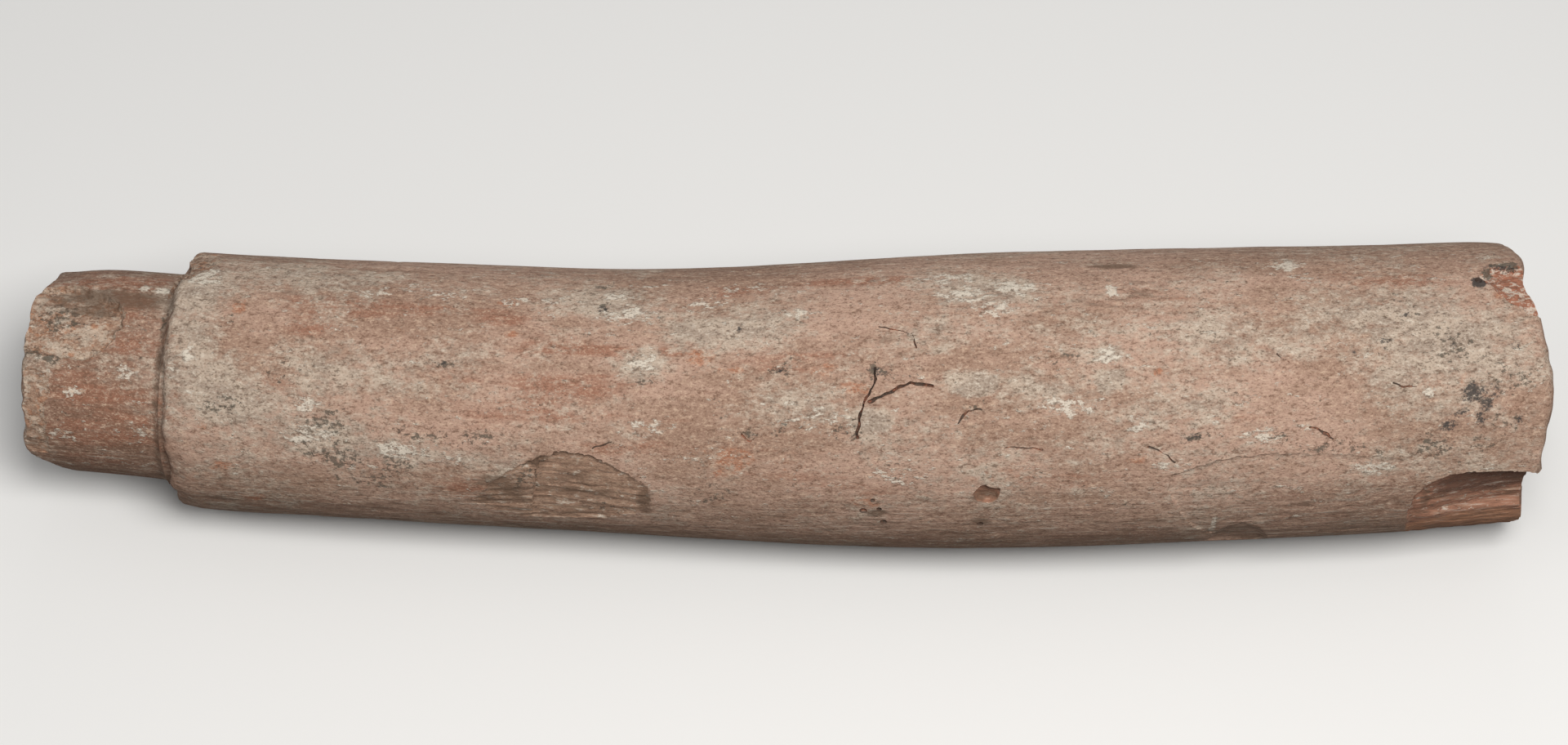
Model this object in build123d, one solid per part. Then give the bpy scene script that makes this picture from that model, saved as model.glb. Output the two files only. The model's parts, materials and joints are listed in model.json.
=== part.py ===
# A drain pipe of fired clay, made by hand and long buried. It is a hollow body that bows a little
# to one side. At one end a narrower spigot slips into the wide mouth of the next pipe. It lies on
# its underside. X runs from the spigot to the mouth, -Y is the side that it bows out to, and Z is
# up. The origin is on the floor under the middle of the whole piece. Sizes are in millimetres,
# and angles around the pipe are in degrees, from the bowed side at 0 up to the top at 90.
from build123d import *
from math import asin, cos, pi, radians, sin
import os

# Lengths along the pipe. The swell's two ends are measured from the shoulder.
body_length = 623
spigot_length = 67
swell_start = 165
swell_end = 395

# Outside radii. The body swells towards its mouth.
spigot_radius = 48.2
shoulder_radius = 59.2
narrow_radius = 60.6
wide_radius = 67.8
mouth_radius = 66.3

# Walls, the room that the next pipe's spigot has in the mouth, and the ledge that it stops at.
narrow_wall = 19
spigot_wall = 16
socket_gap = 1.8
socket_spare_depth = 5
socket_ledge = 2
neck_length = 45

# How far the middle of the body stands out from a straight line between its ends.
bow = 15.5

# Edges, worn round by handling and burial.
mouth_rounding = 6
mouth_bore_bevel = 3
shoulder_rounding = 4
shoulder_root = 5
tip_bevel = 4
tip_bore_bevel = 3

# Layers that split off and left a step: one at the mouth, one from the bowed side. Each is deepest
# at its upper edge. Outlines are (along, up the wall) from the middle of the layer, and the side's
# has a shallow terrace towards the spigot.
scallop_reach = 52
scallop_height = 66
scallop_corner = 14
scallop_depth = 8
scallop_around = -18
scallop_deepest = 14
spall_along = 181
spall_around = 8
spall_deepest = 24
spall_depth = 3.8
spall_outline = ((-11, -21), (-11, 17), (9, 21), (28, 13), (41, -3), (20, -18))
terrace_depth = 1.7
terrace_outline = ((-40, -10), (-23, 9), (-11, 17), (-11, -21))
spall_corner = 3

# Flakes chipped off an edge: reach, depth, and place around the pipe.
mouth_chip_reach = 25
mouth_chip_depth = 5
mouth_chip_around = 94
tip_flake_reach = 27
tip_flake_depth = 3
tip_flakes_around = (70, 97)
tip_break_reach = 23
tip_break_depth = 9
tip_break_around = -48

# The body and its bore are chains of straight stretches. No join of the body's crosses a scar.
stretch_count_before_spall = 2
stretch_count_after_spall = 6
bore_stretch_count = 9
scar_margin = 3

# Sizes that follow from those above.
spigot_bore_radius = spigot_radius - spigot_wall
socket_radius = spigot_radius + socket_gap
socket_depth = spigot_length + socket_spare_depth


def bow_radius():
    """Radius of the level circle that the body's centreline follows."""
    return (body_length**2 / 4 + bow**2) / (2 * bow)


def turn_at(along):
    """Heading of the centreline, in radians, at a distance from the shoulder."""
    half_turn = asin(body_length / 2 / bow_radius())
    return half_turn * (2 * along / body_length - 1)


def eased(low, high, start, end, along):
    """A smooth step from low to high between two distances, level before and after them."""
    share = min(max((along - start) / (end - start), 0), 1)
    return low + (high - low) * (1 - cos(pi * share)) / 2


def radius_at(along):
    """Outside radius of the body at a distance from the shoulder."""
    if along <= swell_start:
        return eased(shoulder_radius, narrow_radius, 0, swell_start, along)
    if along <= swell_end:
        return eased(narrow_radius, wide_radius, swell_start, swell_end, along)
    return eased(wide_radius, mouth_radius, swell_end, body_length, along)


def bore_at(along):
    """Radius of the body's bore, which widens with the swell to a ledge behind the socket."""
    narrow_bore = narrow_radius - narrow_wall
    return eased(narrow_bore, socket_radius - socket_ledge, swell_start, swell_end, along)


def section_plane(along):
    """Upright plane square to the centreline, facing the mouth, with its local X to the bowed side.

    Its origin is the section's centre, one radius above the floor. Its local Y points down.
    """
    turn = turn_at(along)
    centre = (bow_radius() * sin(turn), bow_radius() * (1 - cos(turn)), radius_at(along))
    return Plane(centre, x_dir=(sin(turn), -cos(turn), 0), z_dir=(cos(turn), sin(turn), 0))


def spread(start, end, count):
    """Distances that divide a length into count equal stretches, both ends included."""
    return [start + (end - start) * n / count for n in range(count + 1)]


def tube(stations, radius_of):
    """A bowed form through sections at some distances from the shoulder."""
    return loft([section_plane(s) * Circle(radius_of(s)) for s in stations], ruled=True)


def rod(plane, radius, start, end):
    """A straight cylinder on a plane's normal, between two distances from the plane."""
    return plane * Pos(0, 0, (start + end) / 2) * Cylinder(radius, end - start)


def ring_edge(shape, plane, distance, radius):
    """The round edge of a shape that lies at a distance from a plane and has a radius."""
    return [
        edge
        for edge in shape.edges()
        if abs(plane.to_local_coords(edge.center(CenterOf.BOUNDING_BOX)).Z - distance) < 0.1
        and abs(edge.length - 2 * pi * radius) < 0.1
    ]


def across_wall(plane, around):
    """Plane through a section's centre, square to the wall at an angle, with its local Y up the wall."""
    angle = radians(around)
    outward = plane.x_dir * cos(angle) - plane.y_dir * sin(angle)
    return Plane(plane.origin, x_dir=plane.z_dir, z_dir=outward)


def flake(plane, radius, around, reach, depth):
    """A shallow round-bottomed scar on a wall of a radius, deepest where the wall meets a plane."""
    hollow = reach**2 / (2 * depth)
    out = radius - depth + hollow
    angle = radians(around)
    return plane * Pos(out * cos(angle), -out * sin(angle), 0) * Sphere(hollow)


def layer(plane, radius, outline, corner, around, deepest, depth):
    """What splits off inside an outline, down to a core that sinks to a depth at one angle."""
    rounded = fillet(outline.vertices(), corner)
    angle = radians(deepest)
    core = plane * Pos(-depth * cos(angle), depth * sin(angle), 0) * Cylinder(radius, 4 * radius)
    return extrude(across_wall(plane, around) * rounded, 2 * radius) - core


# The outside: the bowed and swelling body, with the straight spigot on its shoulder.
shoulder = section_plane(0)
mouth = section_plane(body_length)
spall_reach = [along for along, up in spall_outline + terrace_outline]
before_spall = spall_along + min(spall_reach) - scar_margin
after_spall = spall_along + max(spall_reach) + scar_margin
before_scallop = body_length - scallop_reach - scar_margin
body_stations = spread(0, before_spall, stretch_count_before_spall)
body_stations += spread(after_spall, before_scallop, stretch_count_after_spall)
body_stations.append(body_length)
pipe = tube(body_stations, radius_at) + rod(shoulder, spigot_radius, -spigot_length, 0)

# The waterway: a straight bore in the spigot, a neck that opens out, the body's own bowed bore,
# and the straight socket that takes the next pipe's spigot.
neck_end = section_plane(neck_length) * Circle(bore_at(neck_length))
pipe -= rod(shoulder, spigot_bore_radius, -spigot_length, 0)
pipe -= loft([shoulder * Circle(spigot_bore_radius), neck_end], ruled=True)
pipe -= tube(spread(neck_length, body_length, bore_stretch_count), bore_at)
pipe -= rod(mouth, socket_radius, -socket_depth, 0)

# Worn edges.
pipe = fillet(ring_edge(pipe, mouth, 0, mouth_radius), mouth_rounding)
pipe = chamfer(ring_edge(pipe, mouth, 0, socket_radius), mouth_bore_bevel)
pipe = fillet(ring_edge(pipe, shoulder, 0, spigot_radius), shoulder_root)
pipe = fillet(ring_edge(pipe, shoulder, 0, shoulder_radius), shoulder_rounding)
pipe = chamfer(ring_edge(pipe, shoulder, -spigot_length, spigot_radius), tip_bevel)
pipe = chamfer(ring_edge(pipe, shoulder, -spigot_length, spigot_bore_radius), tip_bore_bevel)

# The layers that split off, from the mouth and from the bowed side.
spall_plane = section_plane(spall_along)
spall_radius = radius_at(spall_along)
scallop = Rectangle(2 * scallop_reach, scallop_height)
pipe -= layer(
    mouth, mouth_radius, scallop, scallop_corner, scallop_around, scallop_deepest, scallop_depth
)
for points, depth in ((spall_outline, spall_depth), (terrace_outline, terrace_depth)):
    spall = make_face(Polyline(*points, close=True))
    pipe -= layer(spall_plane, spall_radius, spall, spall_corner, spall_around, spall_deepest, depth)

# The chipped edges of the mouth and of the spigot's tip.
tip = section_plane(0).offset(-spigot_length)
pipe -= flake(mouth, mouth_radius, mouth_chip_around, mouth_chip_reach, mouth_chip_depth)
for around in tip_flakes_around:
    pipe -= flake(tip, spigot_radius, around, tip_flake_reach, tip_flake_depth)
pipe -= flake(tip, spigot_radius, tip_break_around, tip_break_reach, tip_break_depth)

# Place the middle of the piece over the origin.
middle = pipe.bounding_box().center()
pipe = Pos(-middle.X, -middle.Y, 0) * pipe
pipe.label = "drain_pipe"

os.makedirs("parts", exist_ok=True)
export_step(pipe, "parts/drain_pipe.step")
print("volume", round(pipe.volume), "valid", pipe.is_valid, pipe.bounding_box())
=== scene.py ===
# %% [markdown]
# # A clay drain pipe
#
# The real pipe was thrown on a wheel, scraped smooth along its length, fired, and then buried for
# centuries. It came out of the ground scarred, cracked and coated in lime. We make it in the same
# order. First the potter's form is spun and roughened, then pieces are broken out of it, and last
# the crust and stains are painted on.
#
# The pipe bows, and it swells from one end to the other. Both would be awkward while we work, so
# we model it straight, round the X axis, as it was on the wheel. Only the finished mesh is laid
# on the floor and bowed. Until then a place on it is a distance along from the shoulder, an
# angle around, and a height out from the skin.

# %% Load the frame
import bpy
import json
import math
import numpy as np
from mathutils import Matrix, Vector, noise


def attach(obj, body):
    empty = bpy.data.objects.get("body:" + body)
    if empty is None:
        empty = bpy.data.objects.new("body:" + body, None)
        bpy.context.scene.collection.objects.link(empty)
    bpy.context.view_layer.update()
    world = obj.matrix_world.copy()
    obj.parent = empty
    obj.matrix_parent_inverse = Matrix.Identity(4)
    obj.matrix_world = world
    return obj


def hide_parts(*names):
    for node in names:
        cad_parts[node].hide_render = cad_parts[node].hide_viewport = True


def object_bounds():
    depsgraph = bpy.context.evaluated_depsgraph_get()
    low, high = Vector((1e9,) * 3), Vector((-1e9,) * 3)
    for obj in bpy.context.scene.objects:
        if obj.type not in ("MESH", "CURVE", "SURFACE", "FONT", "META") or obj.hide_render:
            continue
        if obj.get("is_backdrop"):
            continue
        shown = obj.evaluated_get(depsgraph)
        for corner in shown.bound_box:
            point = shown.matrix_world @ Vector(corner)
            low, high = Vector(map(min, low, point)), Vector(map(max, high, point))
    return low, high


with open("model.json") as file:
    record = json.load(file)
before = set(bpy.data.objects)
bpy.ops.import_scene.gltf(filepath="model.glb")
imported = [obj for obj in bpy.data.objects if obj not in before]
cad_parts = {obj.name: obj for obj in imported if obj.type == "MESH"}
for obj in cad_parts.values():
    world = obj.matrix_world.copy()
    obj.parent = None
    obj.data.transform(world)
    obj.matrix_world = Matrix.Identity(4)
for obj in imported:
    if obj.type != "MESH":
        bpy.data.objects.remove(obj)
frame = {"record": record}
cad_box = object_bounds()
print("frame box", cad_box)

# %% [markdown]
# ## Sizes
#
# The frame's record says where the spigot and the mouth's socket are, which way each points, and
# how wide they are. The shoulder, the bow and the whole centreline follow from these and from the
# body's length, so they are worked out and nothing is measured twice. The other lengths and radii
# are written here, in metres.

# %% Sizes from the record
MM = 0.001
mounts = {m["name"]: m for m in frame["record"]["mounts"]}
spigot_mount = mounts["spigot"]

SPIGOT_LENGTH = 67 * MM
BODY_LENGTH = 623 * MM
SPIGOT_RADIUS, SOCKET_RADIUS, SPIGOT_BORE_RADIUS = (
    mounts[name]["dims"]["r_mm"] * MM for name in ("spigot", "mouth_socket", "spigot_bore")
)
SHOULDER_RADIUS = 59.2 * MM
NARROW_RADIUS = 60.6 * MM
WIDE_RADIUS = 67.8 * MM
MOUTH_RADIUS = 66.3 * MM
NARROW_BORE_RADIUS = 41.6 * MM
WIDE_BORE_RADIUS = 48.0 * MM
SWELL_START = 165 * MM
SWELL_END = 395 * MM
NECK_LENGTH = 45 * MM
SOCKET_DEPTH = 72 * MM

# The spigot's stated point lies this far from the shoulder, along the spigot.
SPIGOT_POINT = 34 * MM
spigot_way = Vector(spigot_mount["axis"])
shoulder_centre = Vector(spigot_mount["pos_m"]) - spigot_way * SPIGOT_POINT
HALF_TURN = math.asin(abs(spigot_way.y))
BOW_RADIUS = BODY_LENGTH / 2 / math.sin(HALF_TURN)
print("shoulder at", tuple(round(v, 4) for v in shoulder_centre))
print("half turn", round(math.degrees(HALF_TURN), 2), "degrees, bow radius", round(BOW_RADIUS, 3), "m")


# %% The potter's form as two radii
def ramp(value, start, end, least=0.0):
    """A share from 0 at start to 1 at end, level beyond them and nowhere under the least one."""
    return np.clip((value - start) / (end - start), least, 1)


def eased(low, high, start, end, along):
    """A smooth step from low to high between two distances, level before and after them."""
    return low + (high - low) * (1 - np.cos(np.pi * ramp(along, start, end))) / 2


def outside_radius(along):
    """Radius of the skin, on the spigot and on the body."""
    along = np.asarray(along, dtype=float)
    body = eased(SHOULDER_RADIUS, NARROW_RADIUS, 0, SWELL_START, along)
    body = body + eased(0, WIDE_RADIUS - NARROW_RADIUS, SWELL_START, SWELL_END, along)
    body = body + eased(0, MOUTH_RADIUS - WIDE_RADIUS, SWELL_END, BODY_LENGTH, along)
    return np.where(along < 0, SPIGOT_RADIUS, body)


def bore_radius(along):
    """Radius of the body's bore."""
    return eased(NARROW_BORE_RADIUS, WIDE_BORE_RADIUS, SWELL_START, SWELL_END, np.asarray(along, dtype=float))


print("skin radius in mm at 0, 300 and 600 mm:", np.round(outside_radius([0, 0.3, 0.6]) / MM, 1))

# %% [markdown]
# ## The thrown form
#
# A potter pulls a wall up while the wheel turns, so every section is a circle. The same thing in
# Blender is a profile that is spun once around. A cylinder with loop cuts would also work, but
# loop cuts need a window, and a profile lets us choose how fine each stretch is: fine on the
# skin, where light rakes across it, and coarse in the bore.
#
# Each long run between two corners is divided into short steps. The profile then starts as one
# vertex, which is extruded from point to point.

# %% The profile's corners
SKIN_STEP = 2.1 * MM
BORE_STEP = 12 * MM


def run(start, end, radius_of, count):
    """Corners along a curved run, as (along, radius)."""
    return [(x, float(radius_of(x))) for x in np.linspace(start, end, count + 1)]


def rounded(centre, radius, start, end, count):
    """Corners along a quarter round, from one angle to another in degrees."""
    angles = np.radians(np.linspace(start, end, count + 1))
    return [(centre[0] + radius * math.cos(a), centre[1] + radius * math.sin(a)) for a in angles]


TIP_ROUND = 4 * MM
ROOT_ROUND = 5 * MM
SHOULDER_ROUND = 4 * MM
MOUTH_ROUND = 6 * MM
BEVEL = 3 * MM
socket_floor = BODY_LENGTH - SOCKET_DEPTH

corners = [(-SPIGOT_LENGTH + BEVEL, SPIGOT_BORE_RADIUS), (-SPIGOT_LENGTH, SPIGOT_BORE_RADIUS + BEVEL)]
corners += rounded((-SPIGOT_LENGTH + TIP_ROUND, SPIGOT_RADIUS - TIP_ROUND), TIP_ROUND, 180, 90, 4)
corners += rounded((-ROOT_ROUND, SPIGOT_RADIUS + ROOT_ROUND), ROOT_ROUND, -90, 0, 4)
corners += rounded((SHOULDER_ROUND, SHOULDER_RADIUS - SHOULDER_ROUND), SHOULDER_ROUND, 180, 90, 4)
corners += run(SHOULDER_ROUND + SKIN_STEP, BODY_LENGTH - MOUTH_ROUND - SKIN_STEP, outside_radius, 24)
corners += rounded((BODY_LENGTH - MOUTH_ROUND, MOUTH_RADIUS - MOUTH_ROUND), MOUTH_ROUND, 90, 0, 5)
corners += [(BODY_LENGTH, SOCKET_RADIUS + BEVEL), (BODY_LENGTH - BEVEL, SOCKET_RADIUS)]
corners += [(socket_floor, SOCKET_RADIUS), (socket_floor, WIDE_BORE_RADIUS)]
corners += run(socket_floor - BORE_STEP, NECK_LENGTH, bore_radius, 12)
corners += [(0, SPIGOT_BORE_RADIUS)]
print(len(corners), "corners")


# %% Divide the runs and extrude the profile
def vertex_places(mesh):
    """The mesh's vertices as an array of rows."""
    places = np.empty(len(mesh.vertices) * 3)
    mesh.vertices.foreach_get("co", places)
    return places.reshape(-1, 3)


def move_vertices(mesh, places):
    """Puts the mesh's vertices at the rows of an array."""
    mesh.vertices.foreach_set("co", np.ascontiguousarray(places).ravel())
    mesh.update()


def in_waterway(corner):
    """Whether a corner of the profile is on the bore, the neck or the socket."""
    return corner[1] <= SOCKET_RADIUS and (corner[1] < SPIGOT_RADIUS or corner[0] > NECK_LENGTH)


closed = corners + [corners[0]]
profile = [closed[0]]
for before, after in zip(closed, closed[1:]):
    length = math.hypot(after[0] - before[0], after[1] - before[1])
    on_bore = in_waterway(before) and in_waterway(after)
    count = max(1, round(length / (BORE_STEP if on_bore else SKIN_STEP)))
    for n in range(1, count + 1):
        profile.append(tuple(a + (b - a) * n / count for a, b in zip(before, after)))
print(len(profile), "points on the profile")

bpy.ops.mesh.primitive_plane_add(size=BEVEL, location=(0, 0, 0))
pipe = bpy.context.object
pipe.name = "clay_pipe"
bpy.ops.object.mode_set(mode="EDIT")
bpy.ops.mesh.merge(type="CENTER")
bpy.ops.transform.translate(value=(profile[0][0], 0, profile[0][1]))
for before, after in zip(profile, profile[1:]):
    step = (after[0] - before[0], 0, after[1] - before[1])
    bpy.ops.mesh.extrude_region_move(TRANSFORM_OT_translate={"value": step})

# %% Spin the profile
AROUND = 200
bpy.ops.mesh.select_all(action="SELECT")
bpy.ops.mesh.spin(steps=AROUND, angle=math.tau, center=(0, 0, 0), axis=(1, 0, 0))
bpy.ops.mesh.select_all(action="SELECT")
bpy.ops.mesh.remove_doubles(threshold=MM / 20)
bpy.ops.mesh.normals_make_consistent(inside=False)
bpy.ops.object.mode_set(mode="OBJECT")
print("spun", len(pipe.data.vertices), "vertices,", len(pipe.data.polygons), "faces")

# %% [markdown]
# ## Hand-made unevenness
#
# No hand-made pipe is truly round. Scraping leaves long shallow flats, drying leaves swellings,
# and the open ends get knocked ragged. Sculpt brushes would do this by hand, and a Displace
# modifier could do part of it, but neither can stretch its marks along the pipe. So the vertices
# are moved in code: out or in by smooth noise that is read from a squeezed copy of each place.
#
# Before that, the vertices are crowded round to the side that faces up and forward, where most of
# the damage is. The back keeps fewer.

# %% Places on the pipe
FACING = math.radians(50)
CROWDING = 0.3


def wheel_places(places):
    """Rows of (along, angle around, radius) for rows of (x, y, z). Angle 0 is -Y and 90 is +Z."""
    radius = np.hypot(places[:, 1], places[:, 2])
    angle = np.arctan2(places[:, 2], -places[:, 1])
    return np.stack([places[:, 0], angle, radius], axis=1)


def from_wheel(wheel):
    """Rows of (x, y, z) for rows of (along, angle around, radius)."""
    along, angle, radius = wheel.T
    return np.stack([along, -radius * np.cos(angle), radius * np.sin(angle)], axis=1)


def degrees_from(wheel, angle):
    """How far round each row is from an angle, in degrees from -180 to 180."""
    return (np.degrees(wheel[:, 1]) - angle + 180) % 360 - 180


def noise_at(places, size, stretch=1.0, seed=0.0):
    """Smooth noise from -1 to 1 at rows of (x, y, z). A stretch over 1 draws it out along X."""
    scaled = places / size
    scaled[:, 0] /= stretch
    scaled += seed
    return np.array([noise.noise(Vector(p)) for p in scaled])


wheel = wheel_places(vertex_places(pipe.data))
wheel[:, 1] -= CROWDING * np.sin(wheel[:, 1] - FACING)
move_vertices(pipe.data, from_wheel(wheel))
steps_around = math.tau / AROUND * WIDE_RADIUS / MM * np.array([1 - CROWDING, 1 + CROWDING])
print("finest and coarsest step around:", np.round(steps_around, 2), "mm")


# %% Swellings and flats
# Places where the hand pressed the wall out or wear took it in: distance along in mm, angle
# around in degrees, half length, half height and how far out, all in mm.
HAND_SWELLINGS = [
    (375, -42, 80, 28, 1.9), (290, -42, 60, 24, 0.9), (25, -44, 34, 22, 1.6), (140, 140, 150, 26, 1.0),
    (500, 140, 90, 24, 1.0), (330, 100, 40, 30, -0.8), (440, 60, 60, 34, -0.7), (240, 20, 50, 26, 0.5),
    (634, 134, 22, 26, -3.2), (-70, 128, 22, 26, -5.0), (-70, 20, 12, 30, -1.2), (200, -120, 90, 40, 0.6),
]


def hand_swelling(wheel):
    """How far the listed swellings push the skin out, in metres."""
    total = np.zeros(len(wheel))
    for along, around, half_length, half_height, out in HAND_SWELLINGS:
        arc = np.radians(degrees_from(wheel, around)) * wheel[:, 2] / MM
        reach = ((wheel[:, 0] / MM - along) / half_length) ** 2 + (arc / half_height) ** 2
        total += out * np.exp(-reach)
    return total * MM


def unevenness(places):
    """How far the skin stands in or out from the thrown form, in metres.

    Each noise has its size across here, and its height in mm where they are added up.
    """
    swelling = noise_at(places, 70 * MM, 2.0, 3.7)
    flat = noise_at(places, 24 * MM, 5.0, 11.3)
    ripple = noise_at(places, 9 * MM, 2.5, 29.1)
    groove = noise_at(places, 3.4 * MM, 9.0, 17.9)
    pocks = np.clip(noise_at(places, 6.5 * MM, 1.4, 41.0) - 0.34, 0, 1)
    rough = 0.40 * swelling + 0.28 * flat + 0.16 * ripple + 0.11 * groove - 1.3 * pocks
    return (rough - 0.50) * MM + hand_swelling(wheel_places(places))


# %% Move the skin and rib the bore
# Vertices less than this below the skin belong to the outside and to its rounded edges.
EDGE_DEPTH = 8 * MM
RIB_HEIGHT = 0.5 * MM
RIB_PITCH = 11 * MM

places = vertex_places(pipe.data)
wheel = wheel_places(places)
near_skin = outside_radius(wheel[:, 0]) - wheel[:, 2] < EDGE_DEPTH
moved = np.where(near_skin, unevenness(from_wheel(wheel)), 0.0)
wheel[:, 2] += moved

# Ribs left by the potter's fingers wind round the bore, where nobody scraped them away.
rib = RIB_HEIGHT * np.sin(wheel[:, 0] / RIB_PITCH * math.tau + wheel[:, 1])
rib += 0.6 * MM * noise_at(places, 30 * MM, 1.0, 5.5)
in_bore = (~near_skin) & (wheel[:, 0] > NECK_LENGTH) & (wheel[:, 0] < socket_floor - BORE_STEP)
wheel[:, 2] += np.where(in_bore, rib, 0.0)
move_vertices(pipe.data, from_wheel(wheel))
print("skin moved by", np.round([moved.min() / MM, moved.max() / MM], 2), "mm")


# %% How an end is bitten
def bitten(wheel, size, depth, seed, bites):
    """How far an end is eaten back at each vertex's angle, in metres.

    Each bite is an angle, a half width in degrees and a depth in mm.
    """
    ring = np.stack([wheel[:, 2], -np.cos(wheel[:, 1]), np.sin(wheel[:, 1])], axis=1)
    ring[:, 1:] *= SPIGOT_RADIUS
    coarse = noise_at(ring, size, 1.0, seed)
    fine = noise_at(ring, size / 3, 1.0, seed + 3)
    total = depth * np.clip(0.4 + coarse + 0.45 * fine, 0.05, 1.6)
    for around, half_width, out in bites:
        total += out * MM * np.exp(-((degrees_from(wheel, around) / half_width) ** 2))
    return total


# %% Ragged ends
TIP_BITES = [(122, 16, 3.6), (75, 8, 1.2), (20, 9, 0.8), (-15, 6, 0.8)]
MOUTH_BITES = [
    (23, 13, 4.4), (68, 13, 2.6), (96, 14, 7.4), (132, 18, 3.6),
    (200, 12, 1.5), (260, 8, 2.0), (9, 10, 3.0), (-62, 26, 4.0),
]
SHOULDER_BITES = [(112, 10, 2.0), (42, 18, 1.6), (6, 15, 3.2), (-24, 15, 3.0)]

# How far from each edge the wear reaches.
TIP_REACH = 26 * MM
MOUTH_REACH = 22 * MM
SHOULDER_REACH = 13 * MM

wheel = wheel_places(vertex_places(pipe.data))
tip_share = np.clip(1 - (wheel[:, 0] + SPIGOT_LENGTH) / TIP_REACH, 0, 1) ** 1.5
mouth_share = np.clip(1 - (BODY_LENGTH - wheel[:, 0]) / MOUTH_REACH, 0, 1) ** 1.5
wheel[:, 0] += tip_share * bitten(wheel, 13 * MM, 1.9 * MM, 7.7, TIP_BITES)
wheel[:, 0] -= mouth_share * bitten(wheel, 15 * MM, 1.8 * MM, 2.2, MOUTH_BITES)

# The shoulder's edge is knocked back and worn round, unevenly.
on_shoulder = (wheel[:, 0] > -MM) & (wheel[:, 2] > SPIGOT_RADIUS + 3 * MM)
shoulder_share = np.where(on_shoulder, np.clip(1 - wheel[:, 0] / SHOULDER_REACH, 0, 1), 0.0)
wear = shoulder_share * bitten(wheel, 9 * MM, 1.7 * MM, 21.3, SHOULDER_BITES)
wheel[:, 0] += wear
wheel[:, 2] -= wear * 0.7
move_vertices(pipe.data, from_wheel(wheel))
print("shoulder worn back by up to", round(float(wear.max()) / MM, 1), "mm")

# %% [markdown]
# ## Broken places
#
# Fired clay breaks in flakes: a sharp edge, a short steep wall, and a floor that follows the
# layers in the clay. Moving the pipe's own vertices could only make steps as coarse as its faces,
# so each scar is cut with a Boolean instead, and its edge is as sharp as a real one.
#
# A cutter starts as a flat grid that covers the scar, extruded into a slab. The slab's lower side
# is then shaped: it dips to the scar's floor inside an outline, and lifts clear outside. Last it
# is wrapped round the pipe, at the place where the scar is.

# %% Distances to lines and outlines
def line_distance(u, v, line):
    """Distance from points to an open line."""
    nearest = np.full(u.shape, np.inf)
    for (u0, v0), (u1, v1) in zip(line, line[1:]):
        du, dv = u1 - u0, v1 - v0
        share = np.clip(((u - u0) * du + (v - v0) * dv) / (du * du + dv * dv), 0, 1)
        nearest = np.minimum(nearest, np.hypot(u - u0 - share * du, v - v0 - share * dv))
    return nearest


def edge_distance(u, v, outline):
    """Distance from points to an outline's edge, above 0 inside it and below 0 outside."""
    closed_line = outline + outline[:1]
    nearest = line_distance(u, v, closed_line)
    inside = np.zeros(u.shape, dtype=bool)
    for (u0, v0), (u1, v1) in zip(closed_line, closed_line[1:]):
        inside ^= ((v0 > v) != (v1 > v)) & (u < (u1 - u0) * (v - v0) / (v1 - v0 + 1e-12) + u0)
    return np.where(inside, nearest, -nearest)


# %% Wrap a slab on the pipe
# How far a slab's top stands off the skin, in mm, and how far the slab reaches past what it has to
# cover, in mm along and in degrees around.
SLAB = 9.0
MARGIN = 3


def patch_around(points):
    """Two opposite corners of a patch that holds some points, and how many mm a degree is there."""
    low = [min(p[axis] for p in points) - MARGIN for axis in (0, 1)]
    high = [max(p[axis] for p in points) + MARGIN for axis in (0, 1)]
    radius = float(outside_radius((low[0] + high[0]) / 2 * MM)) / MM
    return low, high, math.radians(1) * radius


def cutter(name, low, high, cell, height_of):
    """A slab wrapped on the pipe between two (along mm, around degrees) corners.

    height_of gives the lower side's height above the skin, in mm, from arrays of along and around.
    """
    middle_along = (low[0] + high[0]) / 2
    base_radius = float(outside_radius(middle_along * MM)) / MM
    width = high[0] - low[0]
    arc = math.radians(high[1] - low[1]) * base_radius
    across, up = max(4, round(width / cell)), max(4, round(arc / cell))
    bpy.ops.mesh.primitive_grid_add(x_subdivisions=across, y_subdivisions=up, size=1, location=(0, 0, 0))
    slab = bpy.context.object
    slab.name = name
    bpy.ops.object.mode_set(mode="EDIT")
    bpy.ops.mesh.select_all(action="SELECT")
    bpy.ops.mesh.extrude_region_move(TRANSFORM_OT_translate={"value": (0, 0, 1)})
    bpy.ops.object.mode_set(mode="OBJECT")
    places = vertex_places(slab.data)
    along = low[0] + (places[:, 0] + 0.5) * width
    around = low[1] + (places[:, 1] + 0.5) * (high[1] - low[1])
    lower = places[:, 2] < 0.5
    height = np.full(len(places), SLAB)
    height[lower] = height_of(along[lower], around[lower])
    angle = np.radians(around)
    skin = outside_radius(along * MM)
    on_skin = from_wheel(np.stack([along * MM, angle, skin], axis=1))
    radius = skin + unevenness(on_skin) + height * MM
    move_vertices(slab.data, from_wheel(np.stack([along * MM, angle, radius], axis=1)))
    bpy.ops.object.mode_set(mode="EDIT")
    bpy.ops.mesh.select_all(action="SELECT")
    bpy.ops.mesh.normals_make_consistent(inside=False)
    bpy.ops.object.mode_set(mode="OBJECT")
    print(name, "cutter from", np.round(low, 1), "with", len(places), "vertices")
    return slab


# %% A cutter for a scar
# How far the cutter's lower side lifts clear of the skin outside the outline, in mm.
LIFT = 2.5


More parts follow.
